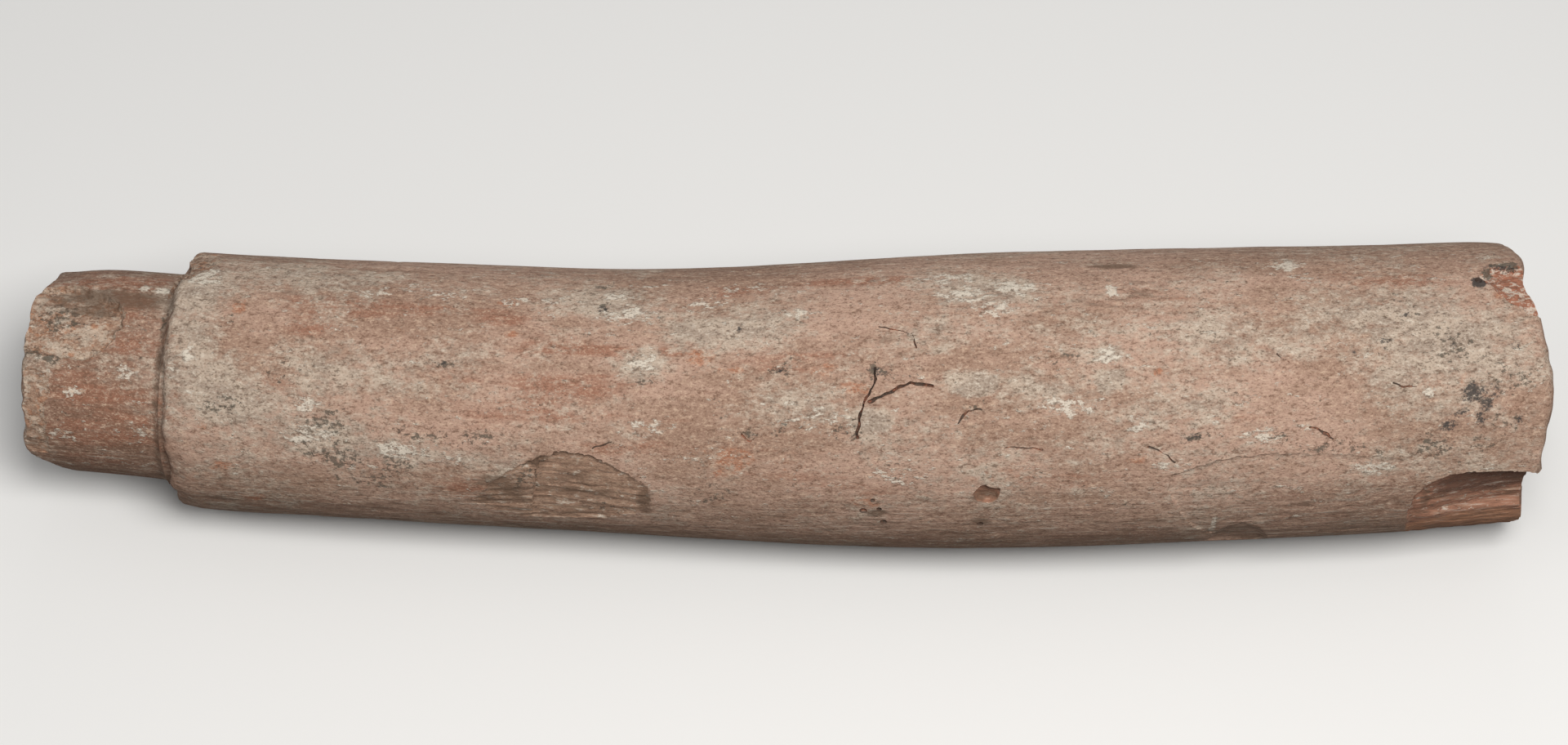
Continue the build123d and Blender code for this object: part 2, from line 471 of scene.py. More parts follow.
def scar(outline, floor, wall=1.6, wobble=0.8, torn=(0.25, 3.0, 4.0), cell=1.2, seed=1.0):
    """A cutter from an outline of (along mm, around degrees). floor gives the depth in mm.

    wall is how wide the steep edge is, and wobble how far the outline strays. torn is the floor's
    roughness: its depth, its size across and how far it is drawn out along the pipe. cell is the
    size of the faces.
    """
    low, high, per_degree = patch_around(outline)
    rough_depth, rough_size, rough_stretch = torn
    flat = [(u, v * per_degree) for u, v in outline]

    def height_of(along, around):
        arc = around * per_degree
        spots = np.stack([along, arc, np.zeros_like(arc)], axis=1)
        inside = edge_distance(along, arc, flat) + wobble * noise_at(spots, 4.0, 1.5, seed)
        inside += wobble * 0.5 * noise_at(spots, 1.7, 1.0, seed + 5)
        depth = floor(along, around) * np.clip(inside / wall, 0, 1) ** 0.8
        rough = rough_depth * noise_at(spots, rough_size, rough_stretch, seed + 9)
        rough += rough_depth * 0.6 * noise_at(spots, rough_size * 0.45, rough_stretch, seed + 3)
        lift = np.clip(-inside * 1.2, 0, LIFT)
        return np.where(inside > 0, -depth + rough * np.clip(inside / wall, 0, 1), lift)

    return cutter("scar", low, high, cell, height_of)


def even_floor(depth):
    """A floor at one depth."""
    return lambda along, around: np.full_like(along, depth)


# %% [markdown]
# Each scar is described by its outline and by how deep its floor lies. The outlines are drawn
# corner by corner, as distances along the pipe and angles around it.

# %% The flake lost from the side
SIDE_DEPTH = 3.9
TERRACE_DEPTH = 1.5
TERRACE_START = 141
TERRACE_END = 170


def side_floor(along, around):
    """A shallow terrace, then a step down to a floor that rises towards the mouth and low down."""
    terrace = TERRACE_DEPTH * ramp(along, TERRACE_START, TERRACE_END, 0.25)
    deep = SIDE_DEPTH - 0.085 * np.clip(along - 178, 0, 41) - 0.02 * np.clip(-around, 0, 30)
    fade = ramp(around, -14, 3, 0.05)
    return np.where(along > TERRACE_END + 0.12 * (around - 8), deep, terrace) * fade


side_outline = [
    (141, -3), (149, 8), (158, 17), (170, 24), (178, 27), (190, 28), (199, 25), (209, 20),
    (221, 12), (222, 4), (214, -6), (201, -10), (186, -12), (169, -13), (153, -11),
]
side_scar = scar(
    side_outline, side_floor, wall=1.3, wobble=1.7, torn=(0.6, 2.2, 10.0), cell=0.9, seed=4.0
)


# %% The scallop and the chip at the mouth
SCALLOP_DEPTH = 9.2
SCALLOP_START = 558
SCALLOP_FULL = 603
LEDGE_DEPTH = 3.4
LEDGE_EDGE = -11
LEDGE_FLAT = -14
LOST_DEPTH = 17

# Past the scallop the whole wall is lost: how far along it still reaches, at angles around.
END_AROUND = [-50, -30, -22, -11, 0, 8]
END_ALONG = [613, 614.5, 613, 610.6, 611.2, 612.6]


def scallop_floor(along, around):
    """Deepest under its upper edge, with a ledge left below. The wall's end is lost as well."""
    toward_mouth = ramp(along, SCALLOP_START, SCALLOP_FULL, 0.15) ** 0.6
    deep = SCALLOP_DEPTH - 0.09 * np.clip(10 - around, 0, 22)
    ledge = ramp(around, LEDGE_EDGE, LEDGE_FLAT)
    shallow = LEDGE_DEPTH - 0.09 * np.clip(LEDGE_FLAT - around, 0, 30)
    floor = (deep + (shallow - deep) * ledge * (3 - 2 * ledge) * ledge) * toward_mouth
    end = np.interp(around, END_AROUND, END_ALONG)
    return floor + LOST_DEPTH * np.clip((along - end) / 2.5, 0, 1)


def chip_floor(along, around):
    """Deeper towards the rim."""
    return 1.2 + 4.6 * ramp(along, 594, 620)


scallop_outline = [
    (634, 5), (622, 9), (610, 12), (596, 13.5), (578, 14), (567, 11), (560, 4), (558, -6),
    (560, -24), (566, -44), (634, -50),
]
chip_outline = [(634, 74), (615, 77), (606, 83), (600, 90), (595, 98), (601, 103), (612, 104), (634, 107)]
scallop = scar(scallop_outline, scallop_floor, wall=2.2, wobble=1.1, torn=(0.7, 2.6, 7.0), seed=2.0)
chip = scar(chip_outline, chip_floor, wall=1.5, wobble=1.4, torn=(1.1, 4.2, 1.0), cell=0.9, seed=6.0)


# %% The spigot's flake and its broken tip
def spigot_floor(along, around):
    """Thickest under the layer that is left at the shoulder's side."""
    return 2.0 + 0.9 * ramp(around, 55, 105) + 0.02 * (along + 70)


def tip_floor(along, around):
    """A slanting break that runs out to nothing away from the tip."""
    lower_side = ramp(around, -92, -66, 0.05)
    return (0.4 + 11.5 * ramp(along, -44, -67) ** 1.1) * lower_side


def shoulder_floor(along, around):
    """Worn away at the edge, running out along the body."""
    return 3.4 * ramp(along, 17, 2, 0.04)


spigot_outline = [
    (-78, 108), (-60, 104), (-46, 106), (-36, 99), (-30, 95), (-24, 90), (-22, 84), (-22, 76),
    (-27, 64), (-34, 56), (-47, 55), (-59, 57), (-78, 54),
]
tip_outline = [(-78, -3), (-66, -7), (-58, -17), (-50, -29), (-44, -45), (-45, -70), (-54, -88), (-78, -92)]
spigot_scar = scar(
    spigot_outline, spigot_floor, wall=1.2, wobble=1.6, torn=(0.7, 4.5, 1.5), cell=0.9, seed=8.0
)
shoulder_outline = [(-4, 98), (6, 101), (14, 108), (19, 118), (14, 129), (-4, 136)]
shoulder_chip = scar(
    shoulder_outline, shoulder_floor, wall=5.0, wobble=1.8, torn=(0.9, 3.0, 1.0), seed=10.0
)
ring_outline = [(-78, 52), (-52, 47), (-51, 38), (-54, 28), (-54, 12), (-53, 2), (-55, -6), (-78, -6)]
ring_scar = scar(ring_outline, even_floor(1.0), wobble=1.5, torn=(0.8, 3.0, 1.3), cell=1.1, seed=20.0)
tip_break = scar(tip_outline, tip_floor, wall=2.5, wobble=1.2, torn=(0.5, 4.0, 2.0), seed=12.0)


# %% The shallow facet, the recess and the small cavities
def facet_floor(along, around):
    """A thin layer lost, thickest at the upper left edge."""
    fade = np.clip(1.25 - (along - 450) / 110, 0.15, 1) * np.clip(1 + (around - 10) / 50, 0.1, 1)
    return 1.1 * fade


facet_outline = [
    (449, 11), (451, 18), (465, 23), (479, 26), (502, 27), (532, 25), (556, 22), (552, 4),
    (546, -22), (512, -27), (480, -28), (462, -12),
]
recess_outline = [(471, -33), (473, -20), (478, -13), (485, -10), (493, -14), (498, -24), (500, -36)]
cavity_outline = [(363.5, 11), (368, 14.5), (376, 13), (375, 8), (371, 5.5), (366, 7)]
facet = scar(facet_outline, facet_floor, wall=1.0, wobble=1.6, torn=(0.22, 3.0, 8.0), seed=14.0)
recess = scar(recess_outline, even_floor(1.9), wall=4.5, torn=(0.2, 3.0, 5.0), seed=16.0)
cavity = scar(cavity_outline, even_floor(2.6), wall=1.2, wobble=0.7, cell=0.6, seed=18.0)

# %% [markdown]
# The fork of cracks in the middle is cut in the same way. Its cutter's lower side is a narrow
# V-shaped valley along a line, so the crack is a real groove that holds a real shadow.

# %% A cutter for a crack
def valley(lines, width, depth, cell=0.45, seed=1.0):
    """A cutter whose lower side is a V-shaped valley along lines of (along mm, around degrees)."""
    low, high, per_degree = patch_around([p for line in lines for p in line])
    flat = [[(u, v * per_degree) for u, v in line] for line in lines]

    def height_of(along, around):
        arc = around * per_degree
        spots = np.stack([along, arc, np.zeros_like(arc)], axis=1)
        sway = 0.9 * noise_at(spots, 3.5, 1.0, seed), 0.9 * noise_at(spots, 3.5, 1.0, seed + 7)
        away = np.min([line_distance(along + sway[0], arc + sway[1], line) for line in flat], axis=0)
        half = width / 2 * np.clip(0.75 + 1.3 * noise_at(spots, 6.0, 1.0, seed + 3), 0.2, 1.2)
        lift = np.clip((away - half) * 1.5, 0, 1.5)
        return np.where(away < half, -depth * (1 - away / half), lift)

    return cutter("crack", low, high, cell, height_of)


# %% The fork, the pits and the hairlines
fork = [
    [(313, 36), (314, 44), (316, 50), (320, 57), (321, 63)],
    [(318, 50), (323, 52), (328, 54), (336, 57), (346, 55.5)],
]
fork_crack = valley(fork, 1.7, 1.7, seed=3.0)


def pit(along, around, size, depth, seed):
    """A small round hole."""
    corner = np.linspace(0, math.tau, 8)[:-1]
    squeeze = math.degrees(size / 2 / (float(outside_radius(along * MM)) / MM))
    outline = [(along + size / 2 * math.cos(a), around + squeeze * math.sin(a)) for a in corner]
    return scar(
        outline, even_floor(depth), wall=size / 4, wobble=0.5, torn=(0.05, 1.0, 1.0), cell=0.5, seed=seed
    )


hairlines = [
    [(498, 66), (500, 64), (503, 62)],
    [(511, 37), (516, 35), (522, 32)],
    [(549, 53), (553, 51), (559, 51)],
    [(357, 41), (361, 46), (367, 46)],
    [(262, 37), (266, 34), (270, 39)],
    [(378, 31), (386, 31), (394, 30)],
    [(440, 31), (446, 29), (452, 24)],
    [(322, 81), (330, 79), (337, 77), (339, 71)],
    [(196, 30), (204, 33), (213, 30)],
]
hairline_cracks = [valley([line], 0.9, 0.7, cell=0.35, seed=n + 0.5) for n, line in enumerate(hairlines)]

pits = [
    pit(323, 2, 3.0, 2.8, 1.5), pit(316, 1, 3.2, 1.6, 2.5), pit(320, 7, 2.6, 1.4, 3.5),
    pit(325, -6, 3.4, 1.8, 4.5), pit(368, -7, 2.8, 1.8, 5.5), pit(594, 96, 3.6, 2.4, 6.5),
]

# %% Mark and cut
def select_only(piece):
    """Selects one object and makes it the active one."""
    bpy.ops.object.select_all(action="DESELECT")
    piece.select_set(True)
    bpy.context.view_layer.objects.active = piece


def mark_faces(piece, value):
    """Writes one number on every face, which the Boolean carries over to the pipe."""
    mark = piece.data.attributes.new("broken", "FLOAT", "FACE")
    mark.data.foreach_set("value", np.full(len(piece.data.polygons), value))


def cut(cutting, value):
    """Takes a cutter away from the pipe and deletes the cutter."""
    mark_faces(cutting, value)
    select_only(pipe)
    bpy.ops.object.modifier_add(type="BOOLEAN")
    modifier = pipe.modifiers[-1]
    modifier.operation = "DIFFERENCE"
    modifier.solver = "MANIFOLD"
    modifier.object = cutting
    bpy.ops.object.modifier_apply(modifier=modifier.name)
    bpy.data.objects.remove(cutting)


# %% Cut every scar
# The number that a break leaves on its faces says how it looks. Up to 0.1 it keeps the look of the
# skin, from there to 1 it is broken clay, the higher the fresher, and CRACKED is dark inside.
CRACKED = 2.0
BREAKS = [
    ("facet", facet, 0.05), ("recess", recess, 0.05), ("fork", fork_crack, CRACKED),
    ("side", side_scar, 0.45), ("scallop", scallop, 0.85), ("chip", chip, 1.0),
    ("spigot", spigot_scar, 0.15), ("ring", ring_scar, 0.20), ("tip", tip_break, 0.25),
    ("shoulder", shoulder_chip, 0.15), ("cavity", cavity, 0.75),
]

mark_faces(pipe, 0.0)
for word, cutting, number in BREAKS:
    cut(cutting, number)
    print(word, len(pipe.data.polygons), "faces")
for cutting in hairline_cracks + pits:
    cut(cutting, CRACKED)
print("after the pits", len(pipe.data.polygons), "faces")

# %% [markdown]
# ## Crust, stains, painted shade and painted light
#
# Centuries in the ground left a thin lime film, flecks of hard lime, dark specks that follow old
# roots, and rust-red streaks. A painter would put them on with a brush in texture paint, but that
# needs an image. Here each stain is a layer of numbers on the vertices: a list of soft dabs, each
# at a place along and around the pipe. A few layers hold painted shade and painted light in the
# same way. The material later breaks the soft dabs up with fine noise, so they end in ragged
# crumbs, as the real crust does.

# %% Dabs of paint on the vertices
# Vertices less than this below the skin, in mm, take the dabs. The others are in the waterway.
SEEN_DEPTH = 12

places = vertex_places(pipe.data)
wheel = wheel_places(places)
along = wheel[:, 0] / MM
skin_radius = outside_radius(wheel[:, 0]) / MM
in_sight = skin_radius - wheel[:, 2] / MM < SEEN_DEPTH


def dabs(spots):
    """A layer of soft dabs: (along mm, around degrees, half length mm, half height mm, strength)."""
    layer = np.zeros(len(along))
    for u, v, length, height, strength in spots:
        arc = np.radians(degrees_from(wheel, v)) * skin_radius
        reach = ((along - u) / length) ** 2 + (arc / height) ** 2
        layer = np.maximum(layer, strength * np.exp(-(reach ** 1.5)))
    return np.where(in_sight, layer, 0.0)


def write_layer(name, layer):
    """Stores a layer on the vertices, where the material reads it."""
    stored = pipe.data.attributes.new(name, "FLOAT", "POINT")
    stored.data.foreach_set("value", layer.astype(np.float32))
    print(name, "covers", round(float((layer > 0.3).mean()) * 100, 1), "% of the vertices")


# %% The browner clay with painted shade along the top, the lime film and its thick flecks
# Umber is partly the spigot's and the body's own browner clay and partly painted shade: the dabs near the
# top, from about 100 to 122 degrees, darken the side that turns away from the main lamp.
write_layer("umber_and_shade", dabs([
    (-34, 40, 44, 80, 1), (-34, 150, 44, 90, 1), (-30, 108, 44, 14, 1.3), (-34, -80, 44, 90, 1),
    (100, 100, 80, 12, 0.5), (60, -16, 90, 18, 0.6), (180, -22, 90, 20, 0.7), (330, 2, 90, 12, 0.5),
    (380, -24, 120, 22, 0.8), (530, -2, 70, 24, 0.6), (430, 112, 90, 16, 0.5), (590, 112, 40, 14, 0.5),
    (250, 122, 140, 16, 0.5), (300, 180, 200, 50, 0.4), (500, 250, 120, 60, 0.5), (120, 240, 120, 60, 0.5),
]))
write_layer("lime", dabs([
    (12, 100, 22, 26, 0.9), (14, 60, 16, 34, 0.7), (30, 45, 34, 22, 0.75), (36, 12, 30, 16, 0.5),
    (68, 30, 26, 14, 0.6), (90, 58, 50, 15, 0.55), (110, 24, 30, 8, 0.9), (133, 22, 18, 5, 0.7),
    (205, 97, 26, 12, 0.85), (217, 66, 12, 9, 1), (262, 82, 40, 12, 0.75), (161, 12, 9, 10, 0.9),
    (319, 42, 9, 8, 1.4), (330, 34, 22, 12, 0.25), (363, 56, 12, 6, 1.8), (385, 54, 22, 7, 0.6),
    (345, 76, 30, 10, 0.5), (372, 98, 26, 12, 0.9), (424, 57, 7, 5, 1.8), (424, 67, 7, 4, 1.3),
    (460, 44, 34, 14, 0.5), (490, 70, 44, 14, 0.6), (470, 30, 30, 8, 0.4), (545, 82, 40, 18, 0.6),
    (585, 62, 38, 22, 1), (560, 50, 30, 16, 0.7), (600, 36, 20, 14, 0.5), (574, 22, 34, 10, 0.45),
    (-56, 84, 16, 18, 0.7), (-62, 35, 9, 30, 0.4), (-40, 100, 14, 6, 0.5), (60, 110, 60, 12, 0.6),
    (120, 170, 60, 40, 0.6), (330, 210, 90, 30, 0.6), (520, 160, 60, 40, 0.5), (230, -70, 80, 26, 0.5),
    (284, 45, 28, 12, 0.35), (393, 32, 26, 12, 0.3),
]))
write_layer("flecks", dabs([
    (90, 99, 12, 4, 1), (107, 103, 14, 3, 0.9), (123, 100, 12, 3, 1), (157, 97, 7, 4, 1.1),
    (174, 99, 8, 4, 0.8), (209, 90, 14, 6, 1.1), (204, 102, 9, 4, 0.9), (217, 67, 7, 5, 1),
    (244, 96, 9, 5, 1.2), (265, 107, 12, 4, 0.9), (286, 88, 9, 5, 1), (213, 110, 9, 4, 0.8),
    (354, 106, 12, 5, 1.2), (360, 95, 16, 5, 1.2), (384, 98, 14, 5, 1.2), (373, 87, 10, 6, 1.1),
    (13, 104, 10, 9, 1.2), (5, 55, 4, 5, 1.1), (13, 61, 4, 4, 1), (69, 44, 8, 5, 1), (68, 30, 12, 6, 1),
    (110, 24, 12, 5, 1.3), (131, 22, 14, 3, 1), (96, 14, 10, 4, 0.8), (406, 47, 14, 5, 1.1),
    (435, 40, 7, 4, 1), (424, 66, 6, 6, 1.2), (489, 34, 10, 4, 1.1), (541, 19, 9, 4, 1.2),
    (507, 110, 10, 5, 1.1), (512, 102, 6, 3, 0.9), (300, 43, 20, 6, 0.7), (332, 18, 14, 6, 0.9),
    (220, 40, 12, 5, 0.6), (245, 28, 10, 5, 0.7), (450, 22, 10, 3, 0.8), (-17, 51, 5, 4, 1.2),
    (-41, 37, 6, 4, 0.9), (-10, 17, 6, 4, 0.8), (-45, 11, 9, 4, 0.9), (-47, -16, 8, 3, 0.8),
    (-17, -9, 10, 3, 0.7), (-62, 30, 9, 30, 0.6), (-57, 82, 10, 12, 0.9), (-38, 82, 9, 6, 0.8),
    (-30, 88, 5, 4, 0.8), (-17, 106, 3.5, 2.5, 1.6), (-8, 105, 4, 3, 1.6), (472, -12, 1.6, 7, 1.6),
    (427, 96, 3, 4, 2), (564, 48, 3, 5, 0.9), (607, 91, 9, 5, 0.9), (100, -150, 40, 14, 0.8),
    (410, 190, 50, 16, 0.8),
]))

# %% Dark specks, black marks and rust
write_layer("specks", dabs([
    (31, 41, 9, 7, 1), (56, 55, 9, 7, 0.7), (24, 78, 8, 6, 0.6), (79, 36, 14, 7, 1), (83, 20, 18, 7, 1.1),
    (105, 17, 14, 6, 1.1), (96, 8, 18, 6, 0.9), (114, 33, 8, 5, 0.9), (124, 33, 8, 5, 0.9),
    (143, 33, 16, 4, 0.9), (166, 13, 8, 8, 1.2), (128, 64, 8, 4, 0.8), (197, 108, 6, 4, 1),
    (198, 95, 6, 4, 1), (217, 60, 9, 4, 0.9), (278, 63, 8, 4, 1), (250, 49, 5, 3, 0.9),
    (266, 37, 6, 4, 0.9), (279, 39, 5, 4, 0.7), (308, 39, 10, 4, 0.9), (250, 9, 12, 8, 0.8),
    (322, 62, 8, 5, 1.2), (364, 48, 7, 3, 0.9), (403, 66, 9, 4, 0.8), (461, 34, 9, 3, 1.1),
    (520, 28, 24, 5, 0.8), (498, 34, 6, 4, 0.8), (565, 27, 12, 7, 1), (590, 27, 9, 5, 0.8),
    (577, 66, 16, 9, 0.8), (600, 52, 12, 10, 0.8), (558, 86, 14, 8, 0.6), (597, 36, 10, 8, 0.6),
    (-61, 57, 5, 5, 1.2), (-53, 54, 6, 3, 1), (-50, 78, 14, 12, 0.9), (-3, 82, 4, 6, 0.9),
    (9, 116, 8, 6, 1.2), (599, 101, 3, 4, 2), (608, 105, 8, 2, 2), (202, -3, 8, 4, 0.8),
    (434, 4, 10, 5, 0.6), (60, 180, 40, 20, 0.6), (290, 240, 60, 20, 0.5), (470, -60, 60, 20, 0.5),
]))
write_layer("black", dabs([
    (584, 48, 6, 5, 1.3), (590, 43, 4, 4, 1.1), (573, 35, 5, 3, 1.2), (578, 40, 4, 3, 1),
    (587, 37, 3, 4, 1.1), (594, 47, 4, 4, 0.8), (547, 69, 4, 3, 0.9), (594, 95, 3.5, 3.5, 2.4),
    (605, 104, 9, 1.6, 1), (322, 62, 4, 2, 1), (461, 34, 4, 1.5, 1.2), (278, 63, 2.5, 2, 0.9),
    (533, 65, 2, 1.5, 1), (557, 80, 1.5, 1.5, 1.5), (577, 66, 1.5, 1.5, 1.2), (604, 36, 2.5, 2, 1.4),
    (260, 82, 1.2, 2, 1.2), (197, 94, 2.5, 2, 1.2), (128, 64, 3, 1.5, 1.1), (605, 65, 2, 2, 1),
]))
write_layer("rust", dabs([
    (32, 86, 4, 5, 1.2), (8, 66, 6, 8, 1.2), (9, 76, 4, 5, 0.8), (30, 10, 8, 5, 1), (44, -10, 9, 5, 0.8),
    (22, 30, 4, 4, 0.9), (154, 96, 6, 3, 1), (158, 79, 6, 3, 0.9), (106, 78, 6, 4, 0.7), (242, 70, 8, 7, 1),
    (257, 63, 12, 3, 0.8), (310, 56, 9, 5, 0.9), (257, 26, 15, 10, 1), (283, 24, 9, 6, 0.7),
    (318, 6, 10, 5, 0.9), (445, 60, 2.5, 2, 1.3), (434, 25, 6, 3, 0.9), (566, 49, 2, 3.5, 1.2),
    (579, 52, 2, 2, 1.2), (375, 20, 20, 10, 0.6), (-34, 62, 9, 5, 0.9), (-52, 98, 8, 4, 0.8),
    (-60, 44, 5, 8, 0.6), (604, 88, 10, 5, 0.8), (300, 63, 10, 5, 0.7), (568, 82, 14, 5, 0.5),
    (612, 0, 14, 30, 0.4), (368, 8, 6, 3, 0.8),
]))
write_layer("red", dabs([
    (92, 90, 46, 7, 1), (150, 88, 24, 7, 0.7), (196, 73, 34, 4, 1), (228, 72, 20, 5, 0.9),
    (262, 105, 26, 5, 0.9), (310, 107, 34, 5, 1.1), (380, 98, 12, 3, 1), (180, 52, 60, 16, 0.5),
    (285, 66, 32, 8, 0.6), (300, 20, 60, 16, 0.45), (400, 18, 40, 6, 0.5), (-30, 60, 40, 40, 0.7),
    (-30, 100, 36, 30, 0.9), (-30, 10, 40, 34, 0.6), (65, 78, 14, 10, 0.6), (210, 30, 50, 12, 0.5),
    (150, 5, 40, 10, 0.6), (560, 100, 40, 10, 0.5), (430, 92, 60, 12, 0.35), (-30, 190, 40, 60, 0.7),
]))

# %% Earth and painted shade, painted light on the ledge, drag marks and the darker bore
# Some of these dabs are painted shade: those at the side scar's right end and at its upper corner darken the
# scar's edges where shadow falls.
earth_and_shade_dabs = [
    (431, 112, 12, 3, 1.4), (330, 76, 16, 3, 0.6), (368, 9, 9, 3, 0.9), (370, -5, 7, 4, 1),
    (322, 0, 6, 4, 1), (509, 1, 7, 2.5, 0.7), (480, -20, 18, 8, 0.9), (-2, 60, 3, 60, 0.8),
    (-30, 96, 30, 12, 1.1), (188, 8, 28, 18, 0.55), (154, 5, 16, 12, 0.95), (430, 92, 55, 12, 0.35),
    (-2, -30, 3, 60, 0.8), (566, 0, 3, 12, 0.9), (219, 2, 4, 10, 1.3), (171, 21, 5, 6, 1),
]

# The earth layer is also darker underneath and towards the back, and the drag marks start a little higher up
# on both sides.
underneath = ramp(np.abs(degrees_from(wheel, 70)), 62, 107)
rubbed = ramp(np.abs(degrees_from(wheel, 62)), 42, 72)
write_layer("earth_and_shade", np.maximum(dabs(earth_and_shade_dabs), 0.75 * underneath))
# Painted shade: a dark layer under the scallop's overhanging upper edge, where its shadow falls, and in the
# small cavity.
write_layer("painted_shade", dabs([(596, 4, 34, 11, 1.3), (372, 12, 6, 2, 1.0)]))
# The ledge layer is partly painted light: it lightens the scallop's lower ledge, where light falls on it,
# over the ledge's own more orange clay.
write_layer("ledge", dabs([(590, -28, 36, 15, 1.3)]))
write_layer("drag", rubbed)
write_layer("inside", np.where(in_sight, 0.0, 1.0))

# %% [markdown]
# ## Laying the pipe down
#
# So far the pipe is straight. The Simple Deform modifier could bend it, but the bend has to match
# the frame's own centreline to a fraction of a millimetre, so it is worked out from the record.
# Every vertex keeps its distance along, and its section turns to stand square to the bow. The
# straight places are stored first: patterns that follow the pipe are read from them.

# %% Remember the straight places, then bow the pipe
straight = pipe.data.attributes.new("straight", "FLOAT_VECTOR", "POINT")
straight.data.foreach_set("vector", np.ascontiguousarray(places, dtype=np.float32).ravel())

travel = np.clip(places[:, 0], 0, BODY_LENGTH)
turn = -HALF_TURN + 2 * HALF_TURN * travel / BODY_LENGTH
heading = np.stack([np.cos(turn), np.sin(turn)], axis=1)
to_bowed_side = np.stack([np.sin(turn), -np.cos(turn)], axis=1)
arc = BOW_RADIUS * np.stack([np.sin(turn), 1 - np.cos(turn)], axis=1)
start = BOW_RADIUS * np.array([math.sin(-HALF_TURN), 1 - math.cos(HALF_TURN)])
beyond = places[:, 0] - travel
centre = arc - start + np.array(shoulder_centre[:2]) + heading * beyond[:, None]
level = centre - to_bowed_side * places[:, 1:2]
height = places[:, 2] + outside_radius(travel)
laid = np.column_stack([level, height])
laid[:, 2] -= laid[:, 2].min()
move_vertices(pipe.data, laid)
print("laid from", np.round(laid.min(axis=0) / MM, 1), "to", np.round(laid.max(axis=0) / MM, 1))

# %% Close up and shade
select_only(pipe)
bpy.ops.object.mode_set(mode="EDIT")
bpy.ops.mesh.select_all(action="SELECT")
bpy.ops.mesh.remove_doubles(threshold=MM / 50)
bpy.ops.mesh.dissolve_degenerate(threshold=MM / 50)
bpy.ops.mesh.delete_loose()
bpy.ops.mesh.normals_make_consistent(inside=False)
bpy.ops.object.mode_set(mode="OBJECT")
bpy.ops.object.shade_smooth_by_angle(angle=math.radians(38))
pipe.data.calc_loop_triangles()
print("finished with", len(pipe.data.loop_triangles), "triangles")

# %% [markdown]
# ## The fired and buried clay
#
# One material makes the whole surface, built up in coats: first the clay with its cloudy pink and
# brown, its red streaks and painted shade along the top, then the lime film and its flecks, the
# broken places with painted shade and painted light, and last grit, specks, soot, and earth mixed
# with painted shade. Each coat has a mask from noise, pushed up where the matching dabs are
# strong. Noise is read from the straight places, squeezed along the pipe where the scraper drew
# it out.

# %% Start the material
def paint(red, green, blue):
    """A colour from 0 to 255 steps, as the shader's linear numbers."""
    steps = [v / 255 for v in (red, green, blue)]
    return tuple(v / 12.92 if v <= 0.04045 else ((v + 0.055) / 1.055) ** 2.4 for v in steps) + (1.0,)


clay = bpy.data.materials.new("buried_terracotta")
clay.use_nodes = True
nodes = clay.node_tree.nodes
links = clay.node_tree.links
shader = nodes["Principled BSDF"]


# %% Stored layers and noise
def attribute(name, output="Fac"):
    """A layer that is stored on the vertices."""
    node = nodes.new("ShaderNodeAttribute")
    node.attribute_name = name
    return node.outputs[output]


def grain(size, stretch=1.0, detail=2.0, rough=0.5, seed=0.0):
    """Noise with features of a size in mm. A stretch over 1 draws them out along the pipe."""
    mapping = nodes.new("ShaderNodeMapping")
    mapping.inputs["Scale"].default_value = (1 / stretch, 1, 1)
    mapping.inputs["Location"].default_value = (seed, seed * 0.7, -seed)
    links.new(attribute("straight", "Vector"), mapping.inputs["Vector"])
    texture = nodes.new("ShaderNodeTexNoise")
    texture.inputs["Scale"].default_value = 1 / (size * MM)
    texture.inputs["Detail"].default_value = detail
    texture.inputs["Roughness"].default_value = rough
    links.new(mapping.outputs["Vector"], texture.inputs["Vector"])
    return texture.outputs["Fac"]


# %% Sums, products and masks
def sum_of(*parts, offset=0.0):
    """Adds up sockets, each with a factor, and an offset."""
    total = offset
    for socket, factor in parts:
        node = nodes.new("ShaderNodeMath")
        node.operation = "MULTIPLY_ADD"
        links.new(socket, node.inputs[0])
        node.inputs[1].default_value = factor
        if isinstance(total, float):
            node.inputs[2].default_value = total
        else:
            links.new(total, node.inputs[2])
        total = node.outputs[0]
    return total


def product(first, second):
    """Multiplies a socket by a socket or a number."""
    node = nodes.new("ShaderNodeMath")
    node.operation = "MULTIPLY"
    links.new(first, node.inputs[0])
    if isinstance(second, (int, float)):
        node.inputs[1].default_value = second
    else:
        links.new(second, node.inputs[1])
    return node.outputs[0]


def mask(value, low, high, strength=1.0):
    """A smooth step from 0 at low to strength at high."""
    node = nodes.new("ShaderNodeMapRange")
    node.interpolation_type = "SMOOTHSTEP"
    node.inputs["From Min"].default_value = low
    node.inputs["From Max"].default_value = high
    node.inputs["To Max"].default_value = strength
    links.new(value, node.inputs["Value"])
    return node.outputs["Result"]


def blotches(layer, push, step, *noises):
    """A mask from noises, pushed up where a layer is strong. step is low, high and strength."""
    return mask(sum_of(*noises, (attribute(layer), push)), *step)


# %% One colour over another
# Where a Mix node of colours keeps its sockets.
MIX_AMOUNT, MIX_UNDER, MIX_OVER, MIX_RESULT = 0, 6, 7, 2


def cover(under, over, amount):
    """Puts a colour over another where the amount is high. Either colour may be a socket."""
    node = nodes.new("ShaderNodeMix")
    node.data_type = "RGBA"
    for value, slot in ((under, MIX_UNDER), (over, MIX_OVER)):
        if isinstance(value, tuple):
            node.inputs[slot].default_value = value
        else:
            links.new(value, node.inputs[slot])
    links.new(amount, node.inputs[MIX_AMOUNT])
    return node.outputs[MIX_RESULT]


def coat(under, *coats):
    """Puts coats over a colour, one after another. Each is a colour and how far it covers."""
    for colour, amount in coats:
        under = cover(under, colour, amount)
    return under


# %% Clay colours and red streaks
CLAY_PINK = paint(188, 154, 134)
CLAY_BROWN = paint(162, 130, 110)
CLAY_RED = paint(155, 106, 83)
CLAY_RUST = paint(176, 111, 77)
CLAY_UMBER_AND_SHADE = paint(128, 95, 76)

